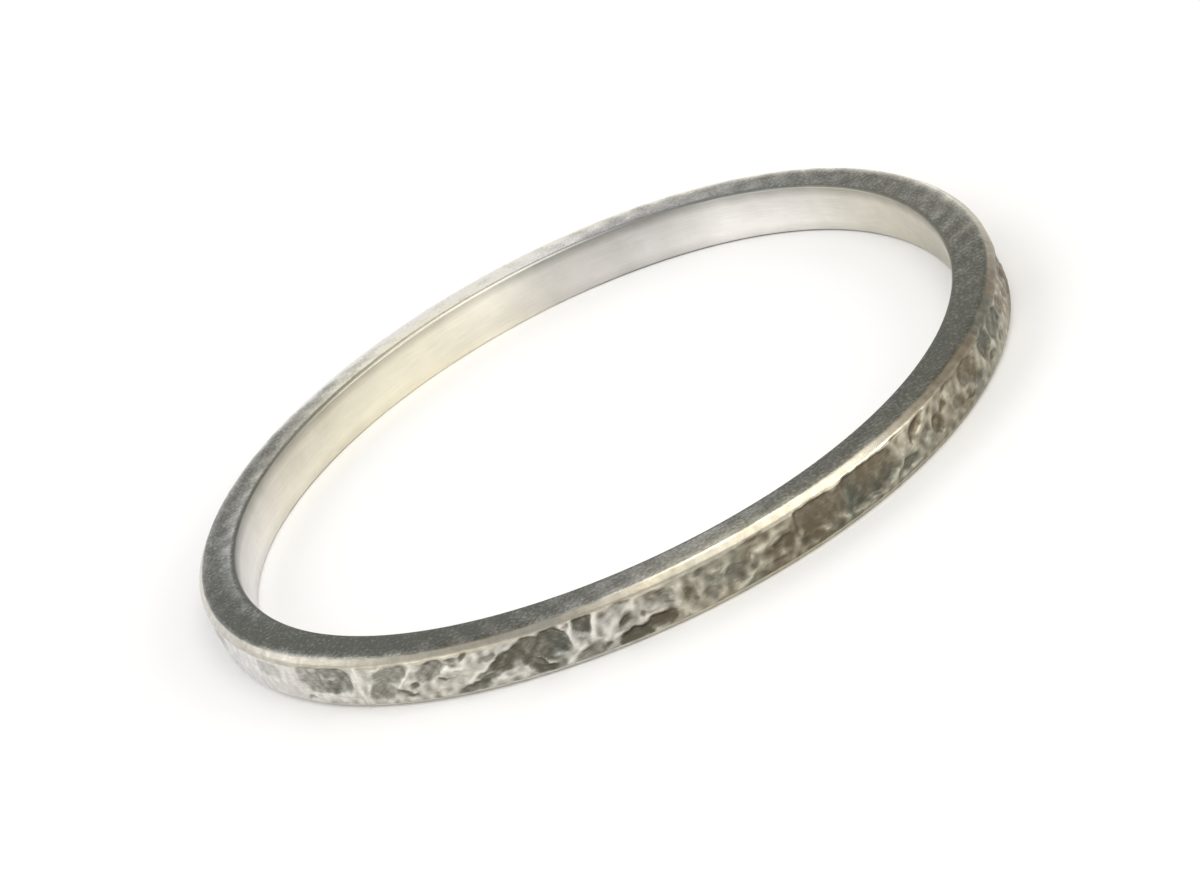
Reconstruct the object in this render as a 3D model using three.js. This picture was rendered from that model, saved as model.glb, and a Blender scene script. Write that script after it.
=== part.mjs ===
// A stackable ring: one narrow closed band of oxidised silver, sanded flat on both sides, with a smooth
// bore, two bevelled outer edges and a hammered outer face.
// Millimetres, +Z up. The ring lies on its side: the origin is the middle of its bore, level with the
// lower side face. Angles run anticlockwise from +X, in degrees.

import * as THREE from 'three';

// Driving dimensions
const boreDiameter = 16.8;      // the finger size
const bandHeight = 1.2;         // along the finger, from side face to side face
const bandWall = 0.95;          // from the bore to the hammered face
const upperBevelWide = 0.17;    // polished bevel above the hammered face
const upperBevelHigh = 0.17;
const lowerBevelWide = 0.11;    // its narrower partner below
const lowerBevelHigh = 0.15;
const boreEdgeBreak = 0.05;     // the small bevels that ease a finger in
const faceBulge = 0.03;         // how far hammering spreads the middle of the outer face
const dentDepth = 0.08;         // the deepest hammer mark

// How finely the band is cut
const stepsAround = 320;
const rowsOnFace = 7;

// The band was bent round by hand. Each row is a slow swelling of its circle: how many times it comes in a
// turn, the angle of one of its crests, and its height as a share of the bore's radius.
const outOfRound = [
  { times: 3, crest: 68.7, share: 0.0098 },
  { times: 4, crest: 45, share: 0.0038 },
];

// The hammer marks on the side that faces forward. Each row: the angle of the middle, its height as a share
// of the band's height, its length round the band and its height as shares of the band's height, its turn
// anticlockwise in degrees as seen from outside, and its depth as a share of the deepest mark.
const frontDents = [
  { at: 205.8, up: 0.62, long: 0.8, high: 0.4, turn: -4, deep: 0.3 },
  { at: 217.7, up: 0.6, long: 1.38, high: 0.58, turn: 2, deep: 0.75 },
  { at: 228.8, up: 0.6, long: 0.84, high: 0.44, turn: 12, deep: 0.7 },
  { at: 235.3, up: 0.65, long: 0.78, high: 0.34, turn: 16, deep: 0.75 },
  { at: 240.6, up: 0.8, long: 0.34, high: 0.14, turn: 25, deep: 0.6 },
  { at: 240.8, up: 0.17, long: 0.84, high: 0.16, turn: 13, deep: 0.7 },
  { at: 246.4, up: 0.53, long: 0.98, high: 0.34, turn: 22, deep: 1 },
  { at: 249.4, up: 0.3, long: 0.46, high: 0.28, turn: -40, deep: 0.8 },
  { at: 252.7, up: 0.58, long: 0.7, high: 0.52, turn: -14, deep: 1 },
  { at: 250.9, up: 0.15, long: 0.64, high: 0.18, turn: -8, deep: 0.85 },
  { at: 256.9, up: 0.7, long: 0.44, high: 0.34, turn: 0, deep: 0.85 },
  { at: 256.4, up: 0.16, long: 0.62, high: 0.32, turn: 6, deep: 0.6 },
  { at: 261.9, up: 0.47, long: 0.46, high: 0.18, turn: 30, deep: 0.8 },
  { at: 262.4, up: 0.15, long: 0.66, high: 0.36, turn: 2, deep: 1 },
  { at: 265.9, up: 0.25, long: 0.72, high: 0.3, turn: 2, deep: 0.9 },
  { at: 266.3, up: 0.66, long: 0.62, high: 0.26, turn: -4, deep: 0.65 },
  { at: 270.6, up: 0.42, long: 0.24, high: 0.5, turn: 4, deep: 0.55 },
  { at: 276.9, up: 0.42, long: 0.54, high: 0.36, turn: 6, deep: 0.6 },
  { at: 280, up: 0.12, long: 0.94, high: 0.16, turn: 3, deep: 0.5 },
  { at: 283.7, up: 0.43, long: 0.56, high: 0.3, turn: 4, deep: 0.9 },
  { at: 287.2, up: 0.27, long: 0.48, high: 0.26, turn: 14, deep: 0.8 },
  { at: 288.8, up: 0.56, long: 0.92, high: 0.62, turn: -4, deep: 1 },
  { at: 297.3, up: 0.51, long: 1.28, high: 0.7, turn: 0, deep: 1 },
  { at: 303.2, up: 0.24, long: 0.72, high: 0.28, turn: 0, deep: 0.7 },
  { at: 306.8, up: 0.72, long: 0.66, high: 0.18, turn: 30, deep: 0.75 },
  { at: 310.4, up: 0.4, long: 0.56, high: 0.36, turn: 20, deep: 0.8 },
  { at: 314.2, up: 0.83, long: 0.66, high: 0.14, turn: -2, deep: 0.75 },
  { at: 319.3, up: 0.66, long: 0.66, high: 0.4, turn: -10, deep: 0.7 },
  { at: 321.2, up: 0.4, long: 0.4, high: 0.3, turn: -20, deep: 0.6 },
  { at: 325.2, up: 0.6, long: 0.6, high: 0.34, turn: 24, deep: 0.8 },
  { at: 333.4, up: 0.66, long: 0.66, high: 0.34, turn: -12, deep: 0.65 },
  { at: 333.9, up: 0.34, long: 0.7, high: 0.2, turn: -8, deep: 0.6 },
  { at: 338.4, up: 0.55, long: 0.5, high: 0.26, turn: -14, deep: 0.6 },
  { at: 343.2, up: 0.5, long: 0.7, high: 0.3, turn: -12, deep: 0.55 },
];

// The marks go on round the back in two rows, from the first angle to the second. The lists of turns,
// lengths and depths are gone through over and over, out of step with each other.
const backDents = {
  from: 348,
  to: 558,
  spacing: 5.6,
  heights: [0.62, 0.3],
  turns: [14, -20, 6, 28, -10],
  lengths: [0.78, 0.54, 0.96],
  highs: [0.38, 0.26, 0.46, 0.3],
  depths: [0.8, 0.55, 1, 0.65, 0.75, 0.5, 0.9],
};

// Sizes that follow
const boreRadius = boreDiameter / 2;
const faceRadius = boreRadius + bandWall;
const middleOfWall = boreRadius + bandWall / 2;

function pick(list, k) {
  return list[k % list.length];
}

function allDents() {
  const dents = [...frontDents];
  const count = Math.floor((backDents.to - backDents.from) / backDents.spacing);
  for (let k = 0; k < count; k++) {
    dents.push({
      at: backDents.from + k * backDents.spacing,
      up: pick(backDents.heights, k),
      long: pick(backDents.lengths, k),
      high: pick(backDents.highs, k),
      turn: pick(backDents.turns, k),
      deep: pick(backDents.depths, k),
    });
  }
  return dents;
}

// How far hand bending moves the wall in or out at an angle
function bendAt(degrees) {
  let out = 0;
  for (const swell of outOfRound) {
    const turns = THREE.MathUtils.degToRad(swell.times * (degrees - swell.crest));
    out += boreRadius * swell.share * Math.cos(turns);
  }
  return out;
}

// The depth of one dent at a point: deepest in the middle, with banks that follow a rounded rectangle
function dentAt(dent, degrees, z) {
  const away = THREE.MathUtils.euclideanModulo(degrees - dent.at + 180, 360) - 180;
  const round = THREE.MathUtils.degToRad(away) * faceRadius;
  const up = z - dent.up * bandHeight;
  const turn = THREE.MathUtils.degToRad(dent.turn);
  const along = (round * Math.cos(turn) + up * Math.sin(turn)) / (dent.long * bandHeight / 2);
  const across = (up * Math.cos(turn) - round * Math.sin(turn)) / (dent.high * bandHeight / 2);
  const out = Math.pow(Math.abs(along), 3) + Math.pow(Math.abs(across), 3);
  return dent.deep * dentDepth * (1 - THREE.MathUtils.smoothstep(out, 0.05, 1.6));
}

// The dents grow shallow over the bevels, so the corners with the side faces stay whole
function hammeredShare(z) {
  const fade = 1.5;
  const share = Math.min(z / (fade * lowerBevelHigh), (bandHeight - z) / (fade * upperBevelHigh), 1);
  return share * share;
}

// The cross-section, from the lower side face round by the outside to the bore, as radius and height
function crossSection() {
  const section = [
    [boreRadius + boreEdgeBreak, 0],
    [faceRadius - lowerBevelWide, 0],
  ];
  const faceHigh = bandHeight - lowerBevelHigh - upperBevelHigh;
  for (let row = 0; row <= rowsOnFace; row++) {
    const share = row / rowsOnFace;
    section.push([faceRadius + faceBulge * Math.sin(share * Math.PI), lowerBevelHigh + share * faceHigh]);
  }
  section.push(
    [faceRadius - upperBevelWide, bandHeight],
    [boreRadius + boreEdgeBreak, bandHeight],
    [boreRadius, bandHeight - boreEdgeBreak],
    [boreRadius, boreEdgeBreak],
    [boreRadius + boreEdgeBreak, 0],
  );
  return section.map(([radius, height]) => new THREE.Vector2(radius, height));
}

// The section turned round the finger's axis, then bent out of round and hammered
function bandGeometry() {
  const geometry = new THREE.LatheGeometry(crossSection(), stepsAround);
  geometry.rotateX(Math.PI / 2);
  const dents = allDents();
  const position = geometry.getAttribute('position');
  for (let k = 0; k < position.count; k++) {
    const x = position.getX(k);
    const y = position.getY(k);
    const z = position.getZ(k);
    const radius = Math.hypot(x, y);
    const degrees = THREE.MathUtils.radToDeg(Math.atan2(y, x));
    let moved = radius + bendAt(degrees);
    if (radius > middleOfWall) {
      const depth = Math.max(...dents.map((dent) => dentAt(dent, degrees, z)));
      moved -= depth * hammeredShare(z);
    }
    position.setXY(k, x / radius * moved, y / radius * moved);
  }
  geometry.computeVertexNormals();
  return geometry;
}

const silver = new THREE.MeshStandardMaterial({ color: 0x9a968d, roughness: 0.36, metalness: 1 });

const band = new THREE.Mesh(bandGeometry(), silver);
band.name = 'hammered_band';

const group = new THREE.Group();
group.name = 'stackable_ring';
group.add(band);

export default group;
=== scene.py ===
import bpy
import numpy as np
from math import radians, sin, cos
from mathutils import Matrix, Vector


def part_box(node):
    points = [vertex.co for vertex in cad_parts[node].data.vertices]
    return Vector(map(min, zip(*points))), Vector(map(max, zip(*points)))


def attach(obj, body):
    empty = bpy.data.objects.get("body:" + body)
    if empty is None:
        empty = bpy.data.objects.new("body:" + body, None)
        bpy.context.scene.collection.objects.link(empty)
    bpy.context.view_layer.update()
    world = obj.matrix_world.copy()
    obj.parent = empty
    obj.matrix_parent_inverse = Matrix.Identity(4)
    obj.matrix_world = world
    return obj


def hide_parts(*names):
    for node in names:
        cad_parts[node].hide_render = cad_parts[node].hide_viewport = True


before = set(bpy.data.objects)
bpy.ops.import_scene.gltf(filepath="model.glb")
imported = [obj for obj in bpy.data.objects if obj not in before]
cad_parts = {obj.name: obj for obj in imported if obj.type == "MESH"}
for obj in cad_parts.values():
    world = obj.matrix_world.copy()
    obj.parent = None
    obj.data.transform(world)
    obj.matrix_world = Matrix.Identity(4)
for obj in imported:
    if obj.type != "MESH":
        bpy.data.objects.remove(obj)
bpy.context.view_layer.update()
print("frame loaded")

# camera: where the photograph was taken from, seen from a ring that lies flat

view = {
    "elevation": 24.26,      # degrees above the side face
    "roll": 26.25,           # degrees that the ring's right end is tilted up in the picture
    "distance": 0.1,
    "lens": 139.0,
    "nearest": 0.002,        # nothing nearer than this shows
    "aimBelow": 0.00035,     # the picture's middle lies a little under the ring's
}


def addCamera(view):
    low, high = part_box("hammered_band")
    middle = Vector((0, 0, (low[2] + high[2]) / 2))
    tilt = radians(view["elevation"])
    roll = radians(view["roll"])
    back = Vector((0, -cos(tilt), sin(tilt)))
    right = Vector((1, 0, 0))
    up = back.cross(right)
    cameraRight = right * cos(roll) - up * sin(roll)
    cameraUp = right * sin(roll) + up * cos(roll)
    aim = middle - cameraUp * view["aimBelow"]
    place = Matrix((cameraRight, cameraUp, back)).transposed().to_4x4()
    place.translation = aim + back * view["distance"]
    camera = bpy.data.objects.new("camera", bpy.data.cameras.new("camera"))
    camera.data.lens = view["lens"]
    camera.data.clip_start = view["nearest"]
    camera.matrix_world = place
    bpy.context.scene.collection.objects.link(camera)
    bpy.context.scene.camera = camera


addCamera(view)
print("camera placed")

# band: sizes in metres, as in the solid that this surface replaces

band = {
    "boreRadius": 0.0084,
    "wall": 0.00095,
    "upperBevel": (0.00017, 0.00017),    # across the side face, and down the outer face
    "lowerBevel": (0.00011, 0.00015),
    "boreEdge": 0.00005,
    "bulge": 0.00003,
    # hand bending: times in a turn, angle of a crest, share of the bore's radius
    "swellings": [(3, 68.7, 0.0098), (4, 45.0, 0.0038)],
    "stepsAround": 1400,

    # the form of the hammer marks
    "dentDepth": 0.00008,
    "bank": 0.0001,                      # breadth of the slope from a dent's outline to its floor
    "fullDent": 0.00014,                 # a dent whose half breadth is less is shallower in proportion
    "lip": 0.000018,                     # how far the hammered ground lies below its highest crests
    "lipWide": 0.00003,
    "crestRise": 0.7,                    # share of the lip that a full crest wins back
    "warp": 0.000022,                    # how far the outlines wander, in bends and in small nicks
    "nick": 0.000007,
    "groundRough": 0.0000028,            # how rough the ground between the dents is
    # how uneven the hammered ground between the dents is, in form and in tone
    "unevenness": [(0, 1.0), (170, 1.0), (192, 0.35), (212, 0.3), (225, 1.0)],

    # the tone of the hammer marks
    "darkest": 0.99,                     # share of oxide in a dent whose darkness is 1
    "grooveStep": 0.000075,              # the faint grooves along a dent's floor: pitch, and share of tone
    "grooveTone": 0.08,
    "groundMottle": 0.1,                 # how much the oxide swings on the ground between the dents
    "wornOxide": 0.03,                   # oxide that is left on a fully worn crest
    # how worn the crests are at a few angles round the band
    "crestShine": [(0, 0.5), (195, 0.5), (215, 0.8), (228, 1.0), (280, 0.8), (285, 0.45), (298, 0.4),
                   (301, 0.42), (312, 0.5), (325, 0.5), (345, 0.3)],

    # how much oxide is left on each zone at a few angles round the band; the tables also hold painted light
    # and shade, as told for each
    # side face: oxide, and a painted reflection that lightens the far side near 65 to 135 degrees, with a
    # painted highlight near 275 degrees
    "sideOxideAndSheen": [(7, 0.65), (22, 0.72), (37, 0.68), (52, 0.54), (67, 0.32), (82, 0.1), (97, 0), (112, 0.02),
                 (127, 0.32), (142, 0.66), (157, 0.7), (172, 0.72), (187, 0.9), (202, 0.97), (232, 0.93),
                 (247, 0.8), (262, 0.61), (275, 0.48), (284, 0.62), (292, 0.77), (307, 0.84), (322, 0.93),
                 (337, 0.82), (352, 0.76)],
    # bore's upper edge: oxide, raised as painted shade over its highlight, and lowered near 90 to 105 degrees
    # for a painted highlight
    "boreEdgeOxideAndLight": [(0, 0.8), (45, 0.72), (70, 0.5), (90, 0.3), (105, 0.32), (120, 0.45), (150, 0.68),
                     (180, 0.85), (225, 0.95), (270, 0.75), (300, 0.9)],
    # upper bevel: oxide, raised past about 304 degrees as painted shade that cuts the highlight short there
    "bevelOxideAndHighlight": [(0, 0.4), (60, 0.25), (180, 0.28), (202, 0.34), (217, 0.34), (232, 0.36), (247, 0.33),
                  (256, 0.37), (264, 0.38), (270, 0.42), (282, 0.38), (294, 0.25), (300, 0.22), (304, 0.38),
                  (310, 0.6), (322, 0.74), (337, 0.78), (352, 0.52)],
    # lower bevel: oxide, kept low near 200 degrees as painted light against the floor's shade that it
    # reflects
    "lowerBevelOxideAndLight": [(0, 0.4), (200, 0.02), (250, 0.12), (300, 0.32), (340, 0.5)],
    # hammered face: oxide, with painted shade that darkens the ground from about 305 to 345 degrees
    "faceOxideAndShade": [(7, 0.4), (60, 0.4), (170, 0.3), (182, 0.22), (200, 0.15), (217, 0.2), (228, 0.33),
                 (240, 0.33), (247, 0.4), (254, 0.51), (262, 0.43), (270, 0.5), (285, 0.8), (298, 0.7),
                 (303, 0.58), (309, 0.58), (318, 0.66), (330, 0.44), (338, 0.52), (346, 0.94), (352, 0.6)],
    # bore: oxide, with a painted highlight near 97 to 113 degrees
    "boreOxideAndHighlight": [(0, 0.32), (12, 0.26), (27, 0.18), (42, 0.11), (57, 0.06), (66, 0.2), (76, 0.24), (88, 0.2),
                 (97, 0.05), (106, 0.08), (117, 0.1), (132, 0.17), (147, 0.16), (162, 0.14), (178, 0.2),
                 (200, 0.1), (300, 0.15), (345, 0.24)],
    # how much oxide is rubbed off the side face's outer and inner edge; below 0, how much is added there. On
    # the outer edge it is also a painted highlight, near 262 to 300 degrees and on the far side of the band
    "rimWearAndSheen": [(0, 0.4), (15, 0.88), (30, 0.94), (45, 0.9), (60, 0.78), (75, 0.3), (105, 0.1), (120, 0.78),
                (135, 0.76), (150, 0.66), (165, 0.26), (200, 0.1), (212, 0.65), (225, 0.58), (240, 0.12),
                (255, 0.18), (270, 0.42), (285, 0.52), (300, 0.38), (315, 0.08), (330, 0), (345, -0.08)],
    "innerWear": [(0, 0.02), (60, 0), (75, -0.2), (90, 0.05), (105, 0.05), (120, 0.2), (135, 0.28),
                  (150, 0.4), (165, 0.4), (180, 0.36), (195, 0.34), (212, 0.08), (225, 0), (300, 0)],
    "sideMottle": 0.07,
    # painted light and shade on the bore: how much more oxide it has at its upper edge than at its lower one,
    # none at the level share, so that it is lighter towards the bottom; below 0 the other way round
    "boreLightAndShade": [(0, -0.12), (20, 0), (50, 0.24), (80, 0.2), (95, -0.12), (110, 0.05), (125, 0.22),
                 (300, 0.24), (340, 0)],
    "boreLevel": 0.6,
    "boreShade": 0.22,                   # painted shade: extra oxide in the line just under the bore's upper edge, which dims the highlight there

    # how warm the bare silver looks, from neutral, 0, to cream, 1
    "outerWarmth": [(0, 0.8), (90, 0.5), (195, 0.05), (210, 0.3), (225, 0.5), (240, 0.52), (250, 0.42),
                    (262, 0.45), (270, 0.85), (278, 1.0), (345, 1.0)],
    "boreWarmth": [(0, 0.9), (15, 0.8), (27, 0.65), (42, 0.3), (57, 0.2), (72, 0.15), (85, 0.3), (95, 0.65),
                   (110, 0.95), (132, 0.9), (147, 0.65), (160, 0.3), (175, 0.0), (200, 0.2), (300, 0.6)],
    "bevelCream": 0.4,                   # how much creamier the upper bevel looks than the face
}

# The dents, a row for each: angle of the middle, then as shares of the band's height its height, length
# and breadth, its turn in degrees, its depth and darkness from 0 to 1, how square its outline is, from 2,
# an ellipse, upwards, and how much it narrows towards its far end.
frontDents = [
    (177.2, 0.60, 0.90, 0.44, 6, 0.70, 0.58, 3.5, 0.0),
    (180.6, 0.28, 0.56, 0.20, -10, 0.60, 0.52, 2.5, 0.0),
    (183.6, 0.62, 0.70, 0.36, -12, 0.60, 0.46, 3.0, 0.0),
    (186.8, 0.32, 0.60, 0.24, 14, 0.50, 0.38, 2.5, 0.0),
    (190.4, 0.60, 0.80, 0.40, 4, 0.45, 0.34, 3.5, 0.0),
    (194.6, 0.30, 0.56, 0.18, -8, 0.35, 0.24, 2.5, 0.0),
    (198.5, 0.60, 0.70, 0.22, 16, 0.30, 0.18, 2.5, 0.0),
    (206.2, 0.62, 0.85, 0.36, -4, 0.30, 0.30, 2.5, 0.0),
    (217.7, 0.60, 1.38, 0.58, 2, 0.80, 0.46, 4.5, 0.0),
    (219.4, 0.60, 0.95, 0.56, 0, 0.80, 0.58, 4.0, 0.0),
    (218.6, 0.38, 0.78, 0.13, 2, 0.90, 0.72, 3.0, 0.0),
    (213.9, 0.20, 0.40, 0.10, 10, 0.60, 0.56, 2.0, 0.0),
    (217.6, 0.11, 0.44, 0.10, 4, 0.50, 0.42, 2.0, 0.0),
    (221.0, 0.11, 0.34, 0.10, 6, 0.50, 0.42, 2.0, 0.0),
    (229.3, 0.63, 0.84, 0.38, 12, 0.75, 0.52, 3.5, 0.0),
    (227.0, 0.34, 0.66, 0.40, 30, 0.60, 0.56, 2.5, 0.0),
    (229.9, 0.30, 0.52, 0.14, -6, 0.85, 0.76, 2.5, 0.0),
    (231.3, 0.21, 0.40, 0.11, -8, 0.70, 0.80, 2.5, 0.0),
    (232.3, 0.41, 0.26, 0.16, 25, 0.80, 0.78, 2.5, 0.0),
    (235.3, 0.64, 0.78, 0.32, 18, 0.80, 0.57, 3.0, 0.0),
    (235.3, 0.79, 0.60, 0.08, 3, 0.60, 0.70, 2.5, 0.0),
    (238.5, 0.78, 0.40, 0.09, -6, 0.60, 0.68, 2.5, 0.0),
    (238.0, 0.70, 0.40, 0.10, -10, 0.60, 0.62, 2.5, 0.0),
    (240.7, 0.79, 0.34, 0.13, 25, 0.85, 0.84, 2.5, 0.3),
    (237.6, 0.44, 0.66, 0.10, -4, 0.55, 0.70, 2.0, 0.0),
    (240.6, 0.17, 0.84, 0.20, 13, 0.80, 0.75, 3.0, 0.0),
    (243.0, 0.29, 0.56, 0.20, 16, 0.80, 0.80, 2.5, 0.0),
    (243.7, 0.66, 0.42, 0.16, 10, 0.65, 0.60, 2.5, 0.0),
    (242.4, 0.40, 0.50, 0.11, 24, 0.70, 0.74, 2.0, 0.0),
    (246.4, 0.53, 0.98, 0.34, 22, 1.00, 0.82, 4.0, 0.0),
    (245.4, 0.38, 0.60, 0.12, 8, 1.00, 0.98, 2.5, 0.0),
    (249.4, 0.31, 0.46, 0.30, -40, 0.85, 0.74, 2.5, 0.0),
    (252.7, 0.58, 0.68, 0.52, -14, 1.00, 0.80, 3.5, 0.3),
    (251.4, 0.34, 0.58, 0.12, -36, 1.00, 0.90, 2.5, 0.0),
    (249.7, 0.62, 0.46, 0.44, 0, 0.85, 0.72, 3.0, 0.0),
    (248.6, 0.46, 0.40, 0.26, 10, 0.80, 0.78, 3.0, 0.0),
    (252.8, 0.82, 0.36, 0.12, -5, 0.90, 0.80, 2.5, 0.0),
    (251.2, 0.87, 0.24, 0.05, -4, 0.60, 0.85, 2.0, 0.0),
    (250.9, 0.15, 0.66, 0.17, -8, 0.90, 0.92, 3.0, 0.0),
    (256.8, 0.71, 0.44, 0.44, -88, 0.90, 0.86, 3.0, 0.6),
    (257.1, 0.47, 0.10, 0.10, 60, 0.60, 0.66, 2.0, 0.0),
    (256.4, 0.16, 0.62, 0.32, 6, 0.60, 0.60, 3.0, 0.0),
    (258.9, 0.20, 0.16, 0.12, 30, 0.80, 0.86, 2.0, 0.0),
    (259.6, 0.75, 0.36, 0.10, 22, 0.60, 0.78, 2.0, 0.0),
    (261.8, 0.83, 0.58, 0.09, 4, 0.60, 0.86, 2.0, 0.0),
    (261.9, 0.48, 0.46, 0.18, 30, 0.90, 0.88, 2.5, -0.5),
    (262.4, 0.15, 0.68, 0.34, 2, 1.00, 1.00, 3.5, 0.0),
    (265.9, 0.25, 0.72, 0.28, 2, 0.95, 0.90, 3.0, 0.0),
    (266.3, 0.67, 0.62, 0.26, -4, 0.70, 0.64, 3.0, 0.0),
    (267.7, 0.52, 0.30, 0.10, -20, 0.70, 0.74, 2.0, 0.0),
    (264.2, 0.50, 0.14, 0.14, 70, 0.60, 0.70, 2.0, 0.0),
    (270.5, 0.43, 0.24, 0.50, 4, 0.60, 0.78, 3.0, 0.0),
    (273.2, 0.75, 0.64, 0.14, -4, 0.60, 0.78, 2.5, 0.0),
    (273.8, 0.53, 0.34, 0.20, -20, 0.50, 0.60, 2.5, 0.0),
    (273.3, 0.30, 0.42, 0.28, 0, 0.45, 0.52, 2.5, 0.0),
    (273.8, 0.08, 0.50, 0.12, 5, 0.50, 0.54, 2.5, 0.0),
    (276.9, 0.42, 0.54, 0.36, 6, 0.60, 0.66, 3.5, 0.0),
    (279.6, 0.82, 0.90, 0.10, 2, 0.70, 0.90, 2.5, 0.0),
    (279.1, 0.63, 0.36, 0.18, 40, 0.60, 0.72, 2.5, 0.0),
    (280.0, 0.12, 0.95, 0.16, 3, 0.50, 0.60, 3.0, 0.0),
    (281.6, 0.42, 0.36, 0.18, 0, 0.60, 0.70, 2.5, 0.0),
    (283.7, 0.43, 0.56, 0.30, 4, 0.90, 0.90, 3.0, 0.0),
    (282.3, 0.22, 0.42, 0.12, -10, 0.80, 0.80, 2.5, 0.0),
    (287.2, 0.27, 0.48, 0.26, 14, 0.80, 0.88, 3.0, 0.0),
    (288.8, 0.56, 0.92, 0.62, -4, 1.00, 0.82, 4.0, 0.0),
    (288.8, 0.06, 0.24, 0.06, 0, 0.60, 0.70, 2.0, 0.0),
    (292.7, 0.50, 0.34, 0.60, 0, 0.75, 0.66, 3.5, 0.0),
    (297.3, 0.51, 1.28, 0.70, 0, 1.00, 0.84, 4.5, 0.1),
    (303.0, 0.86, 0.70, 0.08, 0, 0.70, 0.90, 2.5, 0.0),
    (303.2, 0.24, 0.72, 0.28, 0, 0.70, 0.68, 3.0, 0.1),
    (306.6, 0.73, 0.66, 0.20, 30, 0.80, 0.90, 2.5, 0.0),
    (305.2, 0.58, 0.24, 0.16, 60, 0.80, 0.84, 2.0, 0.0),
    (307.8, 0.48, 0.36, 0.24, 30, 0.50, 0.66, 2.5, 0.0),
    (310.2, 0.42, 0.40, 0.36, 20, 0.80, 0.84, 2.5, 0.0),
    (312.0, 0.58, 0.36, 0.20, 24, 0.75, 0.82, 2.5, 0.0),
    (309.4, 0.72, 0.24, 0.12, 40, 0.60, 0.70, 2.0, 0.0),
    (314.4, 0.83, 0.70, 0.12, -2, 0.75, 0.90, 3.0, 0.0),
    (315.4, 0.36, 0.70, 0.28, -10, 0.60, 0.70, 2.5, 0.0),
    (319.3, 0.64, 0.76, 0.46, -10, 0.70, 0.80, 3.0, 0.0),
    (318.0, 0.23, 0.66, 0.12, -6, 0.60, 0.84, 2.5, 0.0),
    (321.0, 0.36, 0.40, 0.24, -20, 0.60, 0.76, 2.5, 0.0),
    (325.8, 0.62, 0.56, 0.46, 14, 0.80, 0.82, 3.0, 0.0),
    (326.4, 0.32, 0.60, 0.16, -6, 0.60, 0.76, 2.5, 0.0),
    (330.6, 0.62, 0.84, 0.46, -6, 0.65, 0.74, 3.5, 0.0),
    (331.6, 0.32, 0.60, 0.14, -8, 0.60, 0.62, 2.5, 0.0),
    (335.4, 0.60, 0.60, 0.34, -12, 0.65, 0.70, 3.0, 0.0),
    (336.6, 0.86, 0.70, 0.09, -4, 0.70, 0.84, 2.5, 0.0),
    (339.4, 0.56, 0.50, 0.26, -14, 0.60, 0.66, 2.5, 0.0),
    (343.4, 0.62, 0.60, 0.24, -14, 0.60, 0.60, 2.5, 0.0),
    (343.6, 0.30, 0.60, 0.18, -10, 0.55, 0.52, 2.5, 0.0),
]

# The pale ridges that stand between the dents: angle and height of one end, of the other end, breadth as a
# share of the band's height, and how clean they are, from 0 to 1.
ridges = [
    (214.5, 0.24, 220.5, 0.22, 0.060, 0.80),
    (217.3, 0.58, 219.6, 0.62, 0.045, 0.50),
    (215.2, 0.77, 218.0, 0.79, 0.035, 0.40),
    (223.6, 0.10, 224.0, 0.85, 0.085, 0.90),
    (230.0, 0.42, 232.7, 0.72, 0.060, 0.90),
    (237.0, 0.60, 239.8, 0.60, 0.060, 0.90),
    (236.0, 0.32, 238.6, 0.28, 0.080, 0.70),
    (240.0, 0.30, 244.4, 0.60, 0.060, 0.90),
    (243.8, 0.21, 248.2, 0.20, 0.060, 0.80),
    (247.0, 0.04, 253.5, 0.05, 0.050, 0.90),
    (252.6, 0.06, 256.2, 0.38, 0.085, 1.00),
    (255.0, 0.36, 254.9, 0.66, 0.110, 1.00),
    (255.1, 0.66, 255.4, 0.88, 0.060, 0.90),
    (257.4, 0.44, 258.2, 0.36, 0.060, 0.80),
    (257.6, 0.46, 258.8, 0.86, 0.100, 0.90),
    (258.8, 0.30, 260.6, 0.58, 0.120, 0.80),
    (268.9, 0.34, 269.0, 0.62, 0.160, 0.40),
    (275.2, 0.06, 279.9, 0.34, 0.080, 0.80),
    (280.2, 0.60, 285.4, 0.76, 0.120, 1.00),
    (283.7, 0.04, 286.0, 0.42, 0.090, 0.75),
    (300.0, 0.13, 303.6, 0.48, 0.080, 0.90),
    (303.0, 0.48, 304.2, 0.76, 0.150, 1.00),
    (305.6, 0.42, 306.8, 0.08, 0.070, 0.60),
    (305.8, 0.46, 309.4, 0.86, 0.070, 0.70),
    (308.6, 0.16, 309.0, 0.60, 0.060, 0.50),
    (313.2, 0.70, 314.0, 0.30, 0.070, 0.60),
    (316.6, 0.70, 317.0, 0.30, 0.060, 0.50),
    (322.9, 0.84, 323.4, 0.26, 0.100, 0.70),
    (327.8, 0.84, 328.4, 0.44, 0.050, 0.40),
    (333.6, 0.84, 333.8, 0.40, 0.050, 0.40),
    (337.4, 0.44, 340.6, 0.76, 0.070, 0.50),
]

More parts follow.
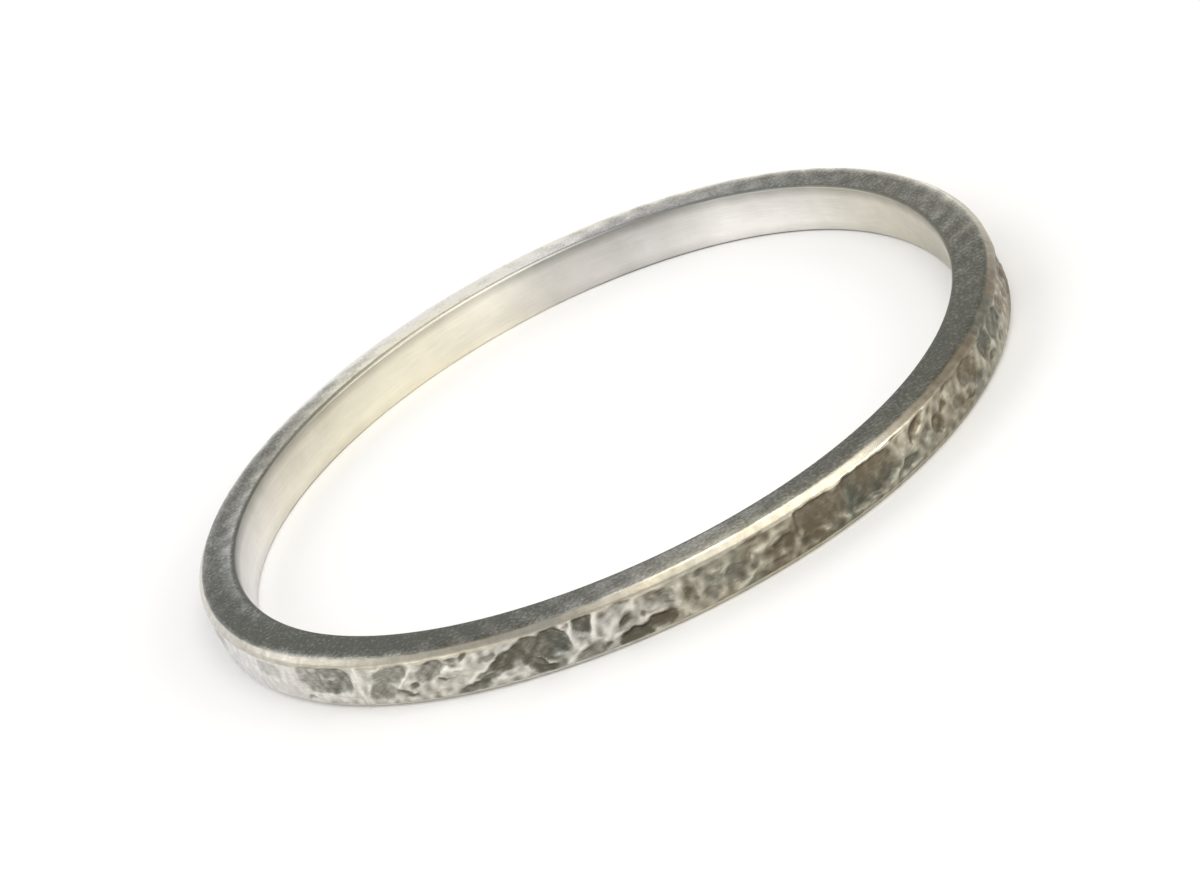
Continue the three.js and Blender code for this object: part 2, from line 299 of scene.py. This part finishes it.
# The marks that go on round the back, in three runs of middling, large and small ones: from, to, and step in
# degrees, then lists that are gone through over and over, out of step with each other. The lists hold what
# the columns of frontDents hold; none of these marks narrows.
backDents = [
    {"from": 349, "to": 534, "step": 5.6, "up": [0.62, 0.30], "long": [0.78, 0.54, 0.96],
     "broad": [0.38, 0.26, 0.46, 0.30], "turn": [14, -20, 6, 28, -10],
     "deep": [0.8, 0.55, 1.0, 0.65, 0.75, 0.5, 0.9], "dark": [0.8, 0.6, 0.86, 0.7, 0.55],
     "square": [3.5, 2.5, 4.0]},
    {"from": 352, "to": 528, "step": 13.7, "up": [0.50, 0.56, 0.46], "long": [1.10, 0.80, 1.26, 0.92],
     "broad": [0.60, 0.50, 0.68], "turn": [4, -8, 12], "deep": [0.9, 0.7],
     "dark": [0.66, 0.78, 0.58, 0.72], "square": [4.5, 3.5]},
    {"from": 351, "to": 536, "step": 3.1, "up": [0.20, 0.78, 0.48, 0.14, 0.66],
     "long": [0.36, 0.56, 0.28], "broad": [0.12, 0.10, 0.16, 0.11], "turn": [-8, 22, 14, -26, 38],
     "deep": [0.7, 0.5, 0.8], "dark": [0.8, 0.62, 0.88, 0.7], "square": [2.0, 2.5]},
]


# All the dents in one table: the front ones, then each run's, with its lists repeated to the run's length
def allDents():
    rows = [np.array(frontDents)]
    lists = ("up", "long", "broad", "turn", "deep", "dark", "square")
    for run in backDents:
        at = np.arange(run["from"], run["to"], run["step"])
        columns = [np.resize(np.array(run[name], float), len(at)) for name in lists]
        narrows = np.zeros(len(at))
        rows.append(np.stack([at, *columns, narrows], axis=1))
    return np.concatenate(rows)


# A share that climbs from 0 to 1 between two values: three times its square less twice its cube
def smoothStep(low, high, value):
    share = np.clip((value - low) / (high - low), 0, 1)
    return share * share * (3 - 2 * share)


# A sum of a few waves that run round the band and up it, each with its own direction and start
def waves(angle, height, finest, seed, count=7):
    random = np.random.default_rng(seed)
    total = np.zeros(np.broadcast(angle, height).shape)
    for _ in range(count):
        around = random.integers(finest // 3, finest)
        upwards = random.uniform(-1, 1) * finest / band["boreRadius"]
        total = total + np.sin(around * angle + upwards * height + random.uniform(0, 2 * np.pi))
    return total / np.sqrt(count)


# The tone of a zone at each angle, read between the rows of its table
def toneAt(rows, angle):
    table = np.array(rows, float)
    return np.interp(np.degrees(angle) % 360, table[:, 0], table[:, 1], period=360)


# The cross-section as radius, height and zone of each row. Its corners are eased: each becomes a short
# curve that leaves one side and joins the next at the same small distance from the corner.
def bandSection(high):
    bore = band["boreRadius"]
    face = bore + band["wall"]
    edge = band["boreEdge"]
    upperWide, upperHigh = band["upperBevel"]
    lowerWide, lowerHigh = band["lowerBevel"]
    # radius, height, easing, rows on the side that follows, zone of that side
    corners = [
        (bore + edge, 0, 0.00001, 1, "side"),
        (face - lowerWide, 0, 0.00003, 2, "lowerBevel"),
        (face, lowerHigh, 0.00004, 28, "hammered"),
        (face, high - upperHigh, 0.00004, 3, "bevel"),
        (face - upperWide, high, 0.00003, 7, "side"),
        (bore + edge, high, 0.00001, 1, "boreEdge"),
        (bore, high - edge, 0.00002, 4, "bore"),
        (bore, edge, 0.00002, 0, "lowerEdge"),
    ]
    cornerPoints = 3
    points = []
    zones = []
    for k, (radius, height, ease, rows, zone) in enumerate(corners):
        corner = np.array([radius, height])
        past = corners[k - 1]
        ahead = corners[(k + 1) % len(corners)]
        back = np.array(past[:2]) - corner
        forth = np.array(ahead[:2]) - corner
        back /= np.linalg.norm(back)
        forth /= np.linalg.norm(forth)
        share = np.linspace(0, 1, cornerPoints)[:, None]
        start = corner + back * ease
        end = corner + forth * ease
        points.append((1 - share) ** 2 * start + 2 * share * (1 - share) * corner + share ** 2 * end)
        last = np.array(ahead[:2]) - forth * ahead[2]
        share = np.linspace(0, 1, rows + 2)[1:-1, None]
        points.append(end + (last - end) * share)
        zones += [zone] * (cornerPoints + rows)
    section = np.concatenate(points)
    return section[:, 0], section[:, 1], np.array(zones)


# The hammer marks over a grid of angle and height: how deep, how dark, and how near a crest. A dent is a
# rounded rectangle: with x and y in half lengths and half breadths from its middle, out is the root of the
# sum of their powers, and 1 on the outline. The depth climbs a bank inside the outline to a flat floor, and
# just outside it the metal is pushed up into a lip. The oxide starts at the outline too, over an edge that is
# sharp in some places and soft in others, with faint grooves along the dent. The ridges come last: along a
# straight line, with the profile of a bell, they fill the dents and keep them pale.
def hammerMarks(angle, height, high):
    face = band["boreRadius"] + band["wall"]
    bank = band["bank"]
    lipWide = band["lipWide"]
    warp = band["warp"]
    nick = band["nick"]
    depth = np.zeros(height.shape)
    dark = np.zeros(height.shape)
    crest = np.zeros(height.shape)
    around = angle + (warp * waves(angle, height, 160, 3) + nick * waves(angle, height, 460, 23)) / face
    upwards = height + warp * waves(angle, height, 150, 4) + nick * waves(angle, height, 480, 24)
    drift = 1 + 0.12 * waves(angle, height, 260, 21)
    soft = 0.000028 + 0.000045 * np.clip(waves(angle, height, 100, 25), 0, 1)
    bend = 2.5 * waves(angle, height, 120, 27)
    lipDrift = np.clip(0.5 + 0.5 * waves(angle, height, 130, 22), 0, 1)
    for at, up, long, broad, turn, deep, tone, square, narrows in allDents():
        away = (around - radians(at) + np.pi) % (2 * np.pi) - np.pi
        near = np.abs(away[:, 0] * face) < high * 1.2
        along = away[near] * face
        rise = upwards[near] - up * high
        turned = radians(turn)
        halfLong = long * high / 2
        halfBroad = broad * high / 2
        narrow = min(halfLong, halfBroad)
        x = (along * cos(turned) + rise * sin(turned)) / halfLong
        y = (rise * cos(turned) - along * sin(turned)) / (halfBroad * (1 - narrows * np.clip(x, -1, 1)))
        out = (np.abs(x) ** square + np.abs(y) ** square) ** (1 / square)
        inside = (1 - out) * narrow
        sunk = deep * min(1, narrow / band["fullDent"])
        depth[near] = np.maximum(depth[near], sunk * smoothStep(-bank * 0.2, min(bank, 0.9 * narrow), inside))
        groove = np.sin(y * halfBroad * 2 * np.pi / band["grooveStep"] + bend[near])
        grooved = tone * (drift[near] + band["grooveTone"] * groove)
        dark[near] = np.maximum(dark[near], grooved * smoothStep(-soft[near], 1.6 * soft[near], inside))
        lip = min(1, 0.25 + 0.8 * sunk) * np.exp(-((inside + lipWide * 1.4) / lipWide) ** 2)
        crest[near] = np.maximum(crest[near], lip * lipDrift[near])
    crest *= 1 - smoothStep(0.2, 0.6, dark)
    for fromAngle, fromUp, toAngle, toUp, broad, clean in ridges:
        away = (around - radians(fromAngle) + np.pi) % (2 * np.pi) - np.pi
        near = np.abs(away[:, 0] * face) < high * 1.5
        run = np.array([radians(toAngle - fromAngle) * face, (toUp - fromUp) * high])
        along = away[near] * face
        rise = upwards[near] - fromUp * high
        share = np.clip((along * run[0] + rise * run[1]) / (run @ run), 0, 1)
        apart = np.hypot(along - share * run[0], rise - share * run[1])
        ridge = clean * np.exp(-(apart / (broad * high * 0.6)) ** 2)
        depth[near] *= 1 - ridge
        dark[near] *= 1 - ridge
        crest[near] = np.maximum(crest[near], ridge)
    return depth, dark, crest


# The whole skin: the section turned round the finger's axis, its radius swelled by hand bending, bulged in
# the middle of the outer face and sunk by the hammer marks there. With each point come its oxide, which holds
# painted light and shade too, its crest and warmth, and its place in the grain: cosine and sine of the angle,
# and the way along the section.
def bandSurface():
    low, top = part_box("hammered_band")
    high = top[2] - low[2]
    bore = band["boreRadius"]
    face = bore + band["wall"]
    radius, height, zone = bandSection(high)
    steps = band["stepsAround"]
    angle = (np.arange(steps) * 2 * np.pi / steps)[:, None]
    height = np.broadcast_to(height, (steps, len(radius)))
    radius = np.broadcast_to(radius, (steps, len(radius)))
    outer = radius[0] > bore + band["wall"] / 2

    # the middle of the outer face bulges a little between its two bevels
    faceLow = band["lowerBevel"][1]
    faceHigh = high - band["upperBevel"][1]
    bulge = np.sin(np.pi * np.clip((height - faceLow) / (faceHigh - faceLow), 0, 1)) * band["bulge"] * outer

    # dents stop at the bevels, which were filed afterwards
    depth, dark, crest = hammerMarks(angle, height, high)
    above = (height - faceLow) / faceLow
    below = (faceHigh - height) / band["upperBevel"][1]
    share = smoothStep(-0.3, 0.5, above) * smoothStep(-0.15, 0.45, below) * outer
    uneven = toneAt(band["unevenness"], angle)
    rough = waves(angle, height, 300, 8, 12) * band["groundRough"] * uneven
    sunk = depth * band["dentDepth"] + band["lip"] * (1 - band["crestRise"] * crest) + rough
    moved = radius + bulge - sunk * share
    for times, at, part in band["swellings"]:
        moved = moved + bore * part * np.cos(times * (angle - radians(at)))

    places = np.stack([moved * np.cos(angle), moved * np.sin(angle), height + low[2]], axis=2)

    # oxide: the zone's own tone, with its painted light and shade, deeper in the dents and rubbed off the
    # crests
    toneOf = {"side": "sideOxideAndSheen", "bevel": "bevelOxideAndHighlight", "lowerBevel": "lowerBevelOxideAndLight",
              "hammered": "faceOxideAndShade", "bore": "boreOxideAndHighlight", "boreEdge": "boreEdgeOxideAndLight",
              "lowerEdge": "boreOxideAndHighlight"}
    ground = np.zeros((steps, len(zone)))
    for name, table in toneOf.items():
        ground[:, zone == name] = toneAt(band[table], angle)
    # painted light and shade on the bore: lighter towards its lower edge, and darker in a line under its
    # upper edge
    boreLightAndShade = toneAt(band["boreLightAndShade"], angle) * (height / high - band["boreLevel"])
    boreLightAndShade = boreLightAndShade + band["boreShade"] * smoothStep(0.9, 0.95, height / high)
    ground += np.where(zone == "bore", boreLightAndShade, 0)
    ground += np.where(zone == "hammered", band["groundMottle"] * uneven * waves(angle, height, 240, 26), 0)
    outwards = (radius - bore) / (face - bore)
    # the side face's rims: rubbed oxide, and on the outer rim a painted highlight in places
    rubbedAndSheen = toneAt(band["rimWearAndSheen"], angle) * smoothStep(0.55, 0.98, outwards)
    rubbedAndSheen = rubbedAndSheen + toneAt(band["innerWear"], angle) * smoothStep(0.6, 0.0, outwards)
    ground += np.where(zone == "side", band["sideMottle"] * waves(angle, radius, 90, 31) - rubbedAndSheen, 0)
    marked = smoothStep(-0.5, 0.0, above) * smoothStep(-0.2, 0.1, below) * outer
    crest = crest * marked
    patchy = np.clip(1.0 + 0.3 * waves(angle, height, 90, 15), 0, 1)
    worn = crest * toneAt(band["crestShine"], angle) * patchy
    # crests worn bare over the zone tone, which holds painted light and shade
    stainAndPaintedLight = ground * (1 - worn) + band["wornOxide"] * worn
    oxide = stainAndPaintedLight + np.maximum(dark * band["darkest"] - stainAndPaintedLight, 0) * marked
    warmth = np.where(outer, toneAt(band["outerWarmth"], angle), toneAt(band["boreWarmth"], angle))
    warmth = np.minimum(warmth + np.where(zone == "bevel", band["bevelCream"], 0), 1)
    stepOut = np.diff(radius[0], prepend=radius[0, -1])
    stepUp = np.diff(height[0], prepend=height[0, -1])
    sectionLength = np.cumsum(np.hypot(stepOut, stepUp))
    grain = np.stack(np.broadcast_arrays(np.cos(angle), np.sin(angle), sectionLength / bore), axis=2)
    return places, oxide, crest, warmth, grain, zone


# A closed skin over a grid of points: four-sided faces join each point to the next one round the band and the
# next one along the section, and in both directions the last point is joined to the first
def addSurface(name, places):
    across = places.shape[1]
    around = places.shape[0]
    index = np.arange(around * across).reshape(around, across)
    nextRound = np.roll(index, -1, axis=0)
    nextAcross = np.roll(index, -1, axis=1)
    nextBoth = np.roll(nextRound, -1, axis=1)
    faces = np.stack([index, nextRound, nextBoth, nextAcross], axis=2).reshape(-1, 4)
    mesh = bpy.data.meshes.new(name)
    mesh.from_pydata(places.reshape(-1, 3).tolist(), [], faces.tolist())
    mesh.polygons.foreach_set("use_smooth", np.ones(len(faces), bool))
    piece = bpy.data.objects.new(name, mesh)
    bpy.context.scene.collection.objects.link(piece)
    return piece


def setAttribute(mesh, name, kind, field, values):
    layer = mesh.attributes.new(name, kind, "POINT")
    layer.data.foreach_set(field, np.ascontiguousarray(values, np.float32).ravel())


# Node helpers

def addNode(tree, kind, inputs=None, **settings):
    node = tree.nodes.new(kind)
    for name, value in settings.items():
        setattr(node, name, value)
    for name, value in (inputs or {}).items():
        socket = node.inputs[name]
        if isinstance(value, bpy.types.NodeSocket):
            tree.links.new(value, socket)
        else:
            socket.default_value = value
    return node


def newGroup(name, inputs, outputs):
    tree = bpy.data.node_groups.new(name, "ShaderNodeTree")
    for label, (kind, value) in inputs.items():
        socket = tree.interface.new_socket(label, in_out="INPUT", socket_type=kind)
        socket.default_value = value
    for label, kind in outputs.items():
        tree.interface.new_socket(label, in_out="OUTPUT", socket_type=kind)
    return tree, tree.nodes.new("NodeGroupInput").outputs, tree.nodes.new("NodeGroupOutput").inputs


def maths(tree, operation, first, second, third=0.0, clamp=False):
    inputs = {0: first, 1: second, 2: third}
    return addNode(tree, "ShaderNodeMath", inputs, operation=operation, use_clamp=clamp).outputs[0]


def mixColours(tree, share, first, second, way="MIX"):
    inputs = {"Factor": share, 6: first, 7: second}
    return addNode(tree, "ShaderNodeMix", inputs, data_type="RGBA", blend_type=way).outputs[2]


# Oxide over silver: mottled patches, brown in places. A thin film already darkens the metal much, and a
# thick one little more: the share of oxide's colour is amount x (2 - amount). The patches swing more where
# the oxide is thick, so that they show there too.
def makeOxideGroup():
    number = "NodeSocketFloat"
    colour = "NodeSocketColor"
    tree, given, out = newGroup(
        "oxideOnSilver",
        {
            "Amount": (number, 0.5),
            "Warmth": (number, 0.5),
            "Mottle": (number, 0.3),
            "Patch Size": (number, 5000.0),
            "Brown": (number, 0.5),
            "Cool Silver": (colour, (0.9, 0.876, 0.884, 1)),
            "Cream Silver": (colour, (0.93, 0.88, 0.71, 1)),
            "Grey Oxide": (colour, (0.096, 0.102, 0.082, 1)),
            "Brown Oxide": (colour, (0.155, 0.12, 0.078, 1)),
        },
        {"Color": colour, "Cover": number},
    )
    place = addNode(tree, "ShaderNodeTexCoord").outputs["Object"]
    patches = addNode(tree, "ShaderNodeTexNoise", {
        "Vector": place, "Scale": given["Patch Size"], "Detail": 3.0, "Roughness": 0.55}).outputs["Fac"]
    drift = addNode(tree, "ShaderNodeTexNoise", {
        "Vector": place, "Scale": 900.0, "Detail": 3.0, "Roughness": 0.55}).outputs["Fac"]
    swing = maths(tree, "MULTIPLY", maths(tree, "SUBTRACT", patches, 0.5), given["Mottle"])
    damping = maths(tree, "SUBTRACT", 2.2, maths(tree, "MULTIPLY", given["Amount"], 1.8))
    swing = maths(tree, "DIVIDE", swing, damping)
    cover = maths(tree, "ADD", given["Amount"], swing, clamp=True)
    brown = maths(tree, "MULTIPLY", maths(tree, "SUBTRACT", drift, 0.32), 5.0, clamp=True)
    brown = maths(tree, "MULTIPLY", maths(tree, "MULTIPLY", brown, given["Warmth"]), given["Brown"])
    oxide = mixColours(tree, brown, given["Grey Oxide"], given["Brown Oxide"])
    silver = mixColours(tree, given["Warmth"], given["Cool Silver"], given["Cream Silver"])
    share = maths(tree, "MULTIPLY", cover, maths(tree, "SUBTRACT", 2.0, cover))
    tree.links.new(mixColours(tree, share, silver, oxide), out["Color"])
    tree.links.new(share, out["Cover"])
    return tree


# Fine lines that run round the band: noise stretched along the angle and crowded across the section
def makeLinesGroup():
    number = "NodeSocketFloat"
    tree, given, out = newGroup(
        "linesRoundBand",
        {"Along": (number, 20.0), "Across": (number, 900.0)},
        {"Height": number},
    )
    grain = addNode(tree, "ShaderNodeAttribute", attribute_name="grain").outputs["Vector"]
    parts = addNode(tree, "ShaderNodeSeparateXYZ", {0: grain}).outputs
    stretched = addNode(tree, "ShaderNodeCombineXYZ", {
        "X": maths(tree, "MULTIPLY", parts["X"], given["Along"]),
        "Y": maths(tree, "MULTIPLY", parts["Y"], given["Along"]),
        "Z": maths(tree, "MULTIPLY", parts["Z"], given["Across"]),
    }).outputs[0]
    noise = addNode(tree, "ShaderNodeTexNoise", {
        "Vector": stretched, "Scale": 1.0, "Detail": 4.0, "Roughness": 0.6}).outputs["Fac"]
    tree.links.new(noise, out["Height"])
    return tree


# Pits and glints of a sanded surface: small cells, each at its own height
def makeGrainGroup():
    number = "NodeSocketFloat"
    tree, given, out = newGroup(
        "sandedGrain",
        {"Fineness": (number, 30000.0)},
        {"Height": number, "Glint": number},
    )
    place = addNode(tree, "ShaderNodeTexCoord").outputs["Object"]
    cells = addNode(tree, "ShaderNodeTexVoronoi", {
        "Vector": place, "Scale": given["Fineness"]}).outputs["Color"]
    height = addNode(tree, "ShaderNodeSeparateColor", {0: cells}).outputs[0]
    glint = maths(tree, "MULTIPLY", maths(tree, "SUBTRACT", height, 0.86), 7.0, clamp=True)
    tree.links.new(height, out["Height"])
    tree.links.new(glint, out["Glint"])
    return tree


oxideGroup = makeOxideGroup()
linesGroup = makeLinesGroup()
grainGroup = makeGrainGroup()

# What each finish of the band is made of. mottle, patchSize: how strong and how fine the patches of oxide
# are. brown: share of brown oxide. smooth, dull: roughness of bare silver and of oxide. along, across: how
# fine the lines round the band are. streak: how much oxide they hold. lineDepth, grainDepth: in metres.
# fineness, glint: how fine the sanded grain is, and how much oxide its bright spots lack.
finishes = {
    "side": {"mottle": 0.9, "patchSize": 12500.0, "brown": 0.2, "smooth": 0.32, "dull": 0.46, "along": 60.0,
             "across": 700.0, "streak": 0.03, "lineDepth": 0.0000002, "fineness": 17000.0,
             "grainDepth": 0.0000009, "glint": 0.12},
    "bevel": {"mottle": 0.5, "patchSize": 4500.0, "brown": 1.0, "smooth": 0.16, "dull": 0.4, "along": 40.0,
              "across": 500.0, "streak": 0.16, "lineDepth": 0.0000006, "fineness": 22000.0,
              "grainDepth": 0.0000008, "glint": 0.05},
    "hammered": {"mottle": 0.45, "patchSize": 4000.0, "brown": 0.8, "smooth": 0.22, "dull": 0.5,
                 "along": 45.0, "across": 220.0, "streak": 0.26, "lineDepth": 0.0000009,
                 "fineness": 20000.0, "grainDepth": 0.0000009, "glint": 0.06},
    "bore": {"mottle": 0.22, "patchSize": 1600.0, "brown": 0.6, "smooth": 0.3, "dull": 0.42, "along": 14.0,
             "across": 420.0, "streak": 0.16, "lineDepth": 0.0000012, "fineness": 16000.0,
             "grainDepth": 0.0000007, "glint": 0.0},
    "edge": {"mottle": 0.2, "patchSize": 3000.0, "brown": 0.3, "smooth": 0.3, "dull": 0.45, "along": 30.0,
             "across": 300.0, "streak": 0.1, "lineDepth": 0.0000002, "fineness": 15000.0,
             "grainDepth": 0.0000005, "glint": 0.0},
}
finishOf = {"side": "side", "bevel": "bevel", "lowerBevel": "bevel", "hammered": "hammered", "bore": "bore",
            "boreEdge": "edge", "lowerEdge": "bore"}


def makeFinish(name, finish):
    material = bpy.data.materials.new(name + "Silver")
    material.use_nodes = True
    tree = material.node_tree
    tree.nodes.clear()
    # the oxide attribute holds painted light and shade as well as oxide
    amount = addNode(tree, "ShaderNodeAttribute", attribute_name="oxide").outputs["Fac"]
    crest = addNode(tree, "ShaderNodeAttribute", attribute_name="crest").outputs["Fac"]
    grain = addNode(tree, "ShaderNodeGroup", node_tree=grainGroup)
    grain.inputs["Fineness"].default_value = finish["fineness"]
    lines = addNode(tree, "ShaderNodeGroup", node_tree=linesGroup)
    lines.inputs["Along"].default_value = finish["along"]
    lines.inputs["Across"].default_value = finish["across"]
    oxide = addNode(tree, "ShaderNodeGroup", node_tree=oxideGroup)
    oxide.inputs["Mottle"].default_value = finish["mottle"]
    oxide.inputs["Patch Size"].default_value = finish["patchSize"]
    oxide.inputs["Brown"].default_value = finish["brown"]
    tree.links.new(addNode(tree, "ShaderNodeAttribute", attribute_name="warmth").outputs["Fac"],
                   oxide.inputs["Warmth"])
    uneven = maths(tree, "SUBTRACT", lines.outputs["Height"], 0.5)
    streaked = maths(tree, "MULTIPLY_ADD", uneven, finish["streak"], amount)
    rubbedAndSheen = maths(tree, "MULTIPLY", grain.outputs["Glint"], finish["glint"])
    tree.links.new(maths(tree, "SUBTRACT", streaked, rubbedAndSheen, clamp=True), oxide.inputs["Amount"])
    span = finish["dull"] - finish["smooth"]
    rough = maths(tree, "MULTIPLY_ADD", oxide.outputs["Cover"], span, finish["smooth"])
    rough = maths(tree, "SUBTRACT", rough, maths(tree, "MULTIPLY", crest, 0.06), clamp=True)
    lineRise = maths(tree, "MULTIPLY", lines.outputs["Height"], finish["lineDepth"])
    rise = maths(tree, "MULTIPLY_ADD", grain.outputs["Height"], finish["grainDepth"], lineRise)
    bump = addNode(tree, "ShaderNodeBump", {"Height": rise, "Strength": 1.0, "Distance": 1.0})
    shader = addNode(tree, "ShaderNodeBsdfPrincipled", {
        "Base Color": oxide.outputs["Color"], "Roughness": rough, "Metallic": 1.0, "Normal": bump.outputs[0]})
    addNode(tree, "ShaderNodeOutputMaterial", {"Surface": shader.outputs[0]})
    return material


def makeBand():
    places, oxide, crest, warmth, grain, zone = bandSurface()
    piece = addSurface("band", places)
    # the oxide attribute holds painted light and shade as well as oxide
    setAttribute(piece.data, "oxide", "FLOAT", "value", oxide)
    setAttribute(piece.data, "crest", "FLOAT", "value", crest)
    setAttribute(piece.data, "warmth", "FLOAT", "value", np.broadcast_to(warmth, oxide.shape))
    setAttribute(piece.data, "grain", "FLOAT_VECTOR", "vector", grain)
    names = list(finishes)
    for name in names:
        piece.data.materials.append(makeFinish(name, finishes[name]))
    slots = np.array([names.index(finishOf[part]) for part in zone], np.int32)
    piece.data.polygons.foreach_set("material_index", np.tile(slots, band["stepsAround"]))
    piece.data.update()
    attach(piece, "root")
    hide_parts("hammered_band")
    return piece


makeBand()
print("band made")

# surroundings: a pale floor, soft lights and a pale sky that darkens overhead

studio = {
    "floorReach": 2.0,
    "floorColour": (0.9, 0.895, 0.885, 1),
    "floorRoughness": 0.7,
    "skyLow": (1.36, 1.36, 1.36, 1),
    "skyHigh": (0.5, 0.5, 0.51, 1),
    "skyTurns": (0.1, 0.9),              # height, 0 to 1, from where to where the sky darkens
    "skyStrength": 0.85,
    # name, direction from the ring, distance, width, power in watts, colour
    "lights": [
        ("overhead", (0.2, -0.33, 0.92), 0.34, 0.32, 0.52, (1.0, 0.985, 0.95)),
        ("backLeft", (-0.62, 0.45, 0.64), 0.4, 0.3, 0.3, (0.97, 0.98, 1.0)),
        ("left", (-0.85, -0.35, 0.4), 0.4, 0.26, 0.12, (0.98, 0.98, 1.0)),
        ("right", (0.8, -0.45, 0.4), 0.36, 0.2, 0.35, (1.0, 0.985, 0.94)),
    ],
}


def addFloor(studio):
    reach = studio["floorReach"]
    mesh = bpy.data.meshes.new("floor")
    corners = [(-reach, -reach, 0), (reach, -reach, 0), (reach, reach, 0), (-reach, reach, 0)]
    mesh.from_pydata(corners, [], [(0, 1, 2, 3)])
    floor = bpy.data.objects.new("floor", mesh)
    bpy.context.scene.collection.objects.link(floor)
    material = bpy.data.materials.new("paleFloor")
    material.use_nodes = True
    shader = material.node_tree.nodes["Principled BSDF"]
    shader.inputs["Base Color"].default_value = studio["floorColour"]
    shader.inputs["Roughness"].default_value = studio["floorRoughness"]
    mesh.materials.append(material)


def addLights(studio):
    for name, direction, distance, width, power, colour in studio["lights"]:
        data = bpy.data.lights.new(name, "AREA")
        data.shape = "DISK"
        data.size = width
        data.energy = power
        data.color = colour
        light = bpy.data.objects.new(name, data)
        towards = Vector(direction).normalized()
        light.location = towards * distance
        light.rotation_euler = towards.to_track_quat("Z", "Y").to_euler()
        bpy.context.scene.collection.objects.link(light)


def addSky(studio):
    world = bpy.data.worlds.new("paleStudio")
    world.use_nodes = True
    tree = world.node_tree
    tree.nodes.clear()
    direction = addNode(tree, "ShaderNodeTexCoord").outputs["Generated"]
    upwards = addNode(tree, "ShaderNodeSeparateXYZ", {0: direction}).outputs["Z"]
    low, high = studio["skyTurns"]
    share = addNode(tree, "ShaderNodeMapRange", {
        "Value": upwards, "From Min": low, "From Max": high}).outputs[0]
    colour = mixColours(tree, share, studio["skyLow"], studio["skyHigh"])
    sky = addNode(tree, "ShaderNodeBackground", {"Color": colour, "Strength": studio["skyStrength"]})
    addNode(tree, "ShaderNodeOutputWorld", {"Surface": sky.outputs[0]})
    bpy.context.scene.world = world


addFloor(studio)
addLights(studio)
addSky(studio)
bpy.context.scene.view_settings.view_transform = "Standard"
print("studio set")
